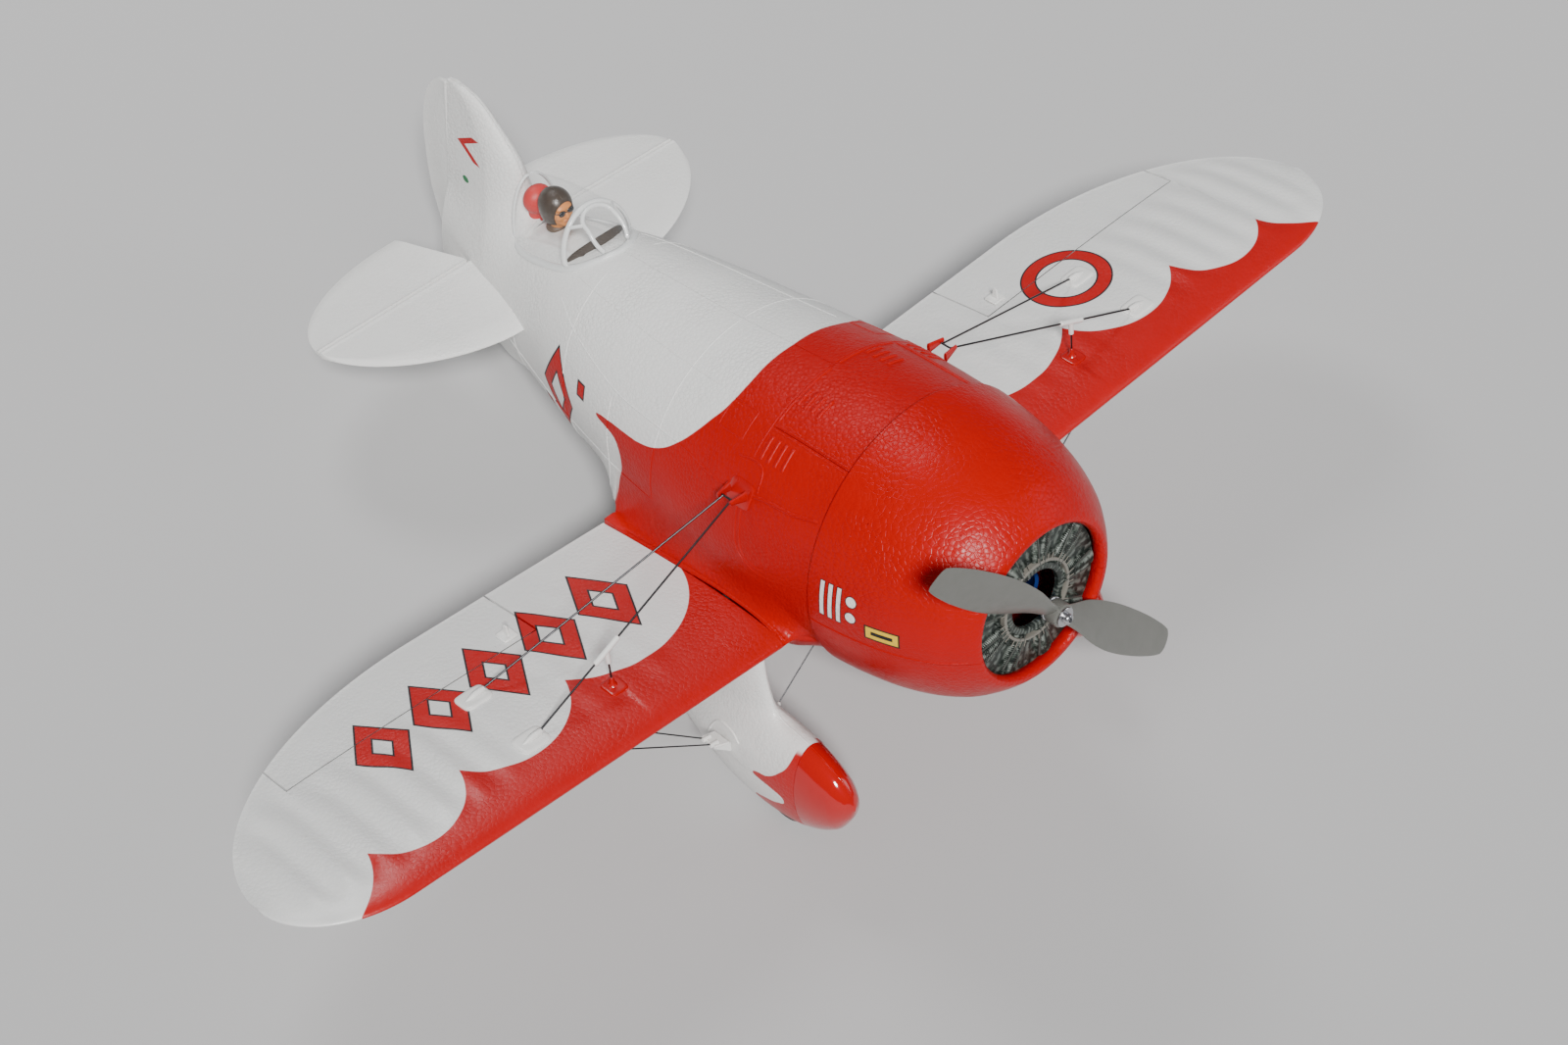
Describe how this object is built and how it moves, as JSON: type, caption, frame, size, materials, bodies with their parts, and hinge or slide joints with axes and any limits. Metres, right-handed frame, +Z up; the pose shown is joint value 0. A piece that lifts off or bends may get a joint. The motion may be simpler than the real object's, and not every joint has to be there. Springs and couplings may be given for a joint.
{
  "type": "radio-controlled racing aeroplane",
  "caption": "Foam radio-controlled low-wing racing aeroplane with a round cowl, spatted wheels, wire-braced wings and moving ailerons, elevator, rudder and propeller.",
  "frame": {"origin": "on the ground under the middle of the aeroplane's box, as it stands on its three wheels", "axes": "+X towards the left wing tip, -Y towards the nose, +Z up; the nose is raised by about 16 degrees"},
  "size_m": [1.0412, 0.7048, 0.3574],
  "materials": {
    "white_foam": "satin moulded bead foam with painted red panels",
    "red_foam": "satin-gloss red paint over moulded bead foam",
    "red_plastic": "glossy moulded red plastic",
    "white_plastic": "satin moulded white plastic",
    "dark_wire": "blackened spring-steel wire",
    "steel": "bright steel",
    "blue_anodised": "blue anodised aluminium",
    "grey_nylon": "pale grey moulded nylon, slightly translucent",
    "dark_plastic": "matt black moulded plastic",
    "servo_case": "translucent blue plastic case",
    "carbon_tube": "satin carbon-fibre tube",
    "clear_canopy": "clear thin moulded canopy",
    "pilot_figure": "painted moulded plastic figure",
    "tyre_foam": "black foam rubber tyre on a plastic hub"
  },
  "bodies": {
    "airframe": {"fuselage_left": "white_foam", "fuselage_right": "white_foam", "upper_cowl": "red_foam", "lower_cowl": "red_foam", "dummy_engine": "dark_plastic", "motor_mount": "red_plastic", "motor_stator": "steel", "battery": "dark_plastic", "speed_controller": "dark_plastic", "receiver": "dark_plastic", "elevator_servo": "servo_case", "rudder_servo": "servo_case", "wing_spar": "carbon_tube", "wing_left": "white_foam", "aileron_servo_left": "servo_case", "stabiliser_left": "white_foam", "wing_right": "white_foam", "aileron_servo_right": "servo_case", "stabiliser_right": "white_foam", "canopy": "clear_canopy", "windshield_frame": "white_plastic", "cockpit_tub": "dark_plastic", "pilot": "pilot_figure", "gear_leg_left": "white_foam", "spat_cap_left": "red_plastic", "gear_brace_left": "white_plastic", "flying_wires_left": "dark_wire", "wire_bracket_left": "red_plastic", "wire_spreader_left": "white_plastic", "gear_leg_right": "white_foam", "spat_cap_right": "red_plastic", "gear_brace_right": "white_plastic", "flying_wires_right": "dark_wire", "wire_bracket_right": "red_plastic", "wire_spreader_right": "white_plastic"},
    "hatch": {"battery_hatch": "red_foam"},
    "rotor": {"motor_bell": "blue_anodised", "prop_adapter": "blue_anodised", "propeller": "grey_nylon", "prop_screw": "steel"},
    "aileron_left_surface": {"aileron_left": "white_foam", "aileron_horn_left": "white_plastic"},
    "aileron_rod_left": {"aileron_pushrod_left": "steel"},
    "aileron_arm_left": {"aileron_servo_arm_left": "white_plastic"},
    "aileron_right_surface": {"aileron_right": "white_foam", "aileron_horn_right": "white_plastic"},
    "aileron_rod_right": {"aileron_pushrod_right": "steel"},
    "aileron_arm_right": {"aileron_servo_arm_right": "white_plastic"},
    "elevator": {"elevator_left": "white_foam", "elevator_right": "white_foam", "elevator_joiner": "steel"},
    "elevator_rod": {"elevator_pushrod": "steel"},
    "elevator_arm": {"elevator_servo_arm": "white_plastic"},
    "rudder": {"rudder": "white_foam", "tail_wheel_leg": "steel"},
    "rudder_rod": {"rudder_pushrod": "steel"},
    "rudder_arm": {"rudder_servo_arm": "white_plastic"},
    "tail_wheel": {"tail_wheel": "tyre_foam"},
    "main_wheel_left": {"main_wheel_left": "tyre_foam"},
    "main_wheel_right": {"main_wheel_right": "tyre_foam"}
  },
  "joints": [
    {"name": "hatch_lift", "type": "slide", "parent": "airframe", "child": "hatch", "axis": [0, 0.2737, 0.9618], "range_m": [0, 0.04]},
    {"name": "prop_spin", "type": "hinge", "parent": "airframe", "child": "rotor", "pos_m": [0, -0.31829, 0.24375], "axis": [0, -0.9618, 0.2737], "continuous": true},
    {"name": "aileron_left_hinge", "type": "hinge", "parent": "airframe", "child": "aileron_left_surface", "pos_m": [0.231, -0.05412, 0.13701], "axis": [0.9991, 0.0119, 0.0417], "range_deg": [-25, 25]},
    {"name": "aileron_right_hinge", "type": "hinge", "parent": "airframe", "child": "aileron_right_surface", "pos_m": [-0.231, -0.05412, 0.13701], "axis": [0.9991, -0.0119, -0.0417], "range_deg": [-25, 25]},
    {"name": "aileron_rod_left_slide", "type": "slide", "parent": "airframe", "child": "aileron_rod_left", "axis": [0, 0.9618, -0.2737], "range_m": [-0.0085, 0.0085]},
    {"name": "aileron_arm_left_turn", "type": "hinge", "parent": "airframe", "child": "aileron_arm_left", "pos_m": [0.2416, -0.1223, 0.13963], "axis": [1, 0, 0], "range_deg": [-45, 45]},
    {"name": "aileron_rod_right_slide", "type": "slide", "parent": "airframe", "child": "aileron_rod_right", "axis": [0, 0.9618, -0.2737], "range_m": [-0.0085, 0.0085]},
    {"name": "aileron_arm_right_turn", "type": "hinge", "parent": "airframe", "child": "aileron_arm_right", "pos_m": [-0.2416, -0.1223, 0.13963], "axis": [1, 0, 0], "range_deg": [-45, 45]},
    {"name": "elevator_hinge", "type": "hinge", "parent": "airframe", "child": "elevator", "pos_m": [0, 0.2552, 0.10705], "axis": [1, 0, 0], "range_deg": [-25, 25]},
    {"name": "elevator_rod_slide", "type": "slide", "parent": "airframe", "child": "elevator_rod", "axis": [0, 0.9618, -0.2737], "range_m": [-0.0085, 0.0085]},
    {"name": "elevator_arm_turn", "type": "hinge", "parent": "airframe", "child": "elevator_arm", "pos_m": [0.014, 0.06821, 0.14051], "axis": [0, -0.2737, -0.9618], "range_deg": [-45, 45]},
    {"name": "rudder_hinge", "type": "hinge", "parent": "airframe", "child": "rudder", "pos_m": [0, 0.30332, 0.05696], "axis": [0, 0.1137, 0.9935], "range_deg": [-25, 25]},
    {"name": "rudder_rod_slide", "type": "slide", "parent": "airframe", "child": "rudder_rod", "axis": [0, 0.9618, -0.2737], "range_m": [-0.0085, 0.0085]},
    {"name": "rudder_arm_turn", "type": "hinge", "parent": "airframe", "child": "rudder_arm", "pos_m": [-0.014, 0.06821, 0.14051], "axis": [0, 0.2737, 0.9618], "range_deg": [-45, 45]},
    {"name": "tail_wheel_roll", "type": "hinge", "parent": "rudder", "child": "tail_wheel", "pos_m": [0, 0.30502, 0.01177], "axis": [1, 0, 0], "continuous": true},
    {"name": "main_wheel_left_roll", "type": "hinge", "parent": "airframe", "child": "main_wheel_left", "pos_m": [0.13, -0.2226, 0.02469], "axis": [1, 0, 0], "continuous": true},
    {"name": "main_wheel_right_roll", "type": "hinge", "parent": "airframe", "child": "main_wheel_right", "pos_m": [-0.13, -0.2226, 0.02469], "axis": [1, 0, 0], "continuous": true}
  ],
  "couplings": [
    {"joint": "aileron_right_hinge", "follows": "aileron_left_hinge", "ratio": -1},
    {"joint": "aileron_rod_left_slide", "follows": "aileron_left_hinge", "m_per_rad": 0.01823},
    {"joint": "aileron_arm_left_turn", "follows": "aileron_left_hinge", "ratio": 1.658},
    {"joint": "aileron_rod_right_slide", "follows": "aileron_left_hinge", "m_per_rad": -0.01823},
    {"joint": "aileron_arm_right_turn", "follows": "aileron_left_hinge", "ratio": -1.658},
    {"joint": "elevator_rod_slide", "follows": "elevator_hinge", "m_per_rad": 0.0175},
    {"joint": "elevator_arm_turn", "follows": "elevator_hinge", "ratio": 1.591},
    {"joint": "rudder_rod_slide", "follows": "rudder_hinge", "m_per_rad": -0.019},
    {"joint": "rudder_arm_turn", "follows": "rudder_hinge", "ratio": 1.727}
  ]
}
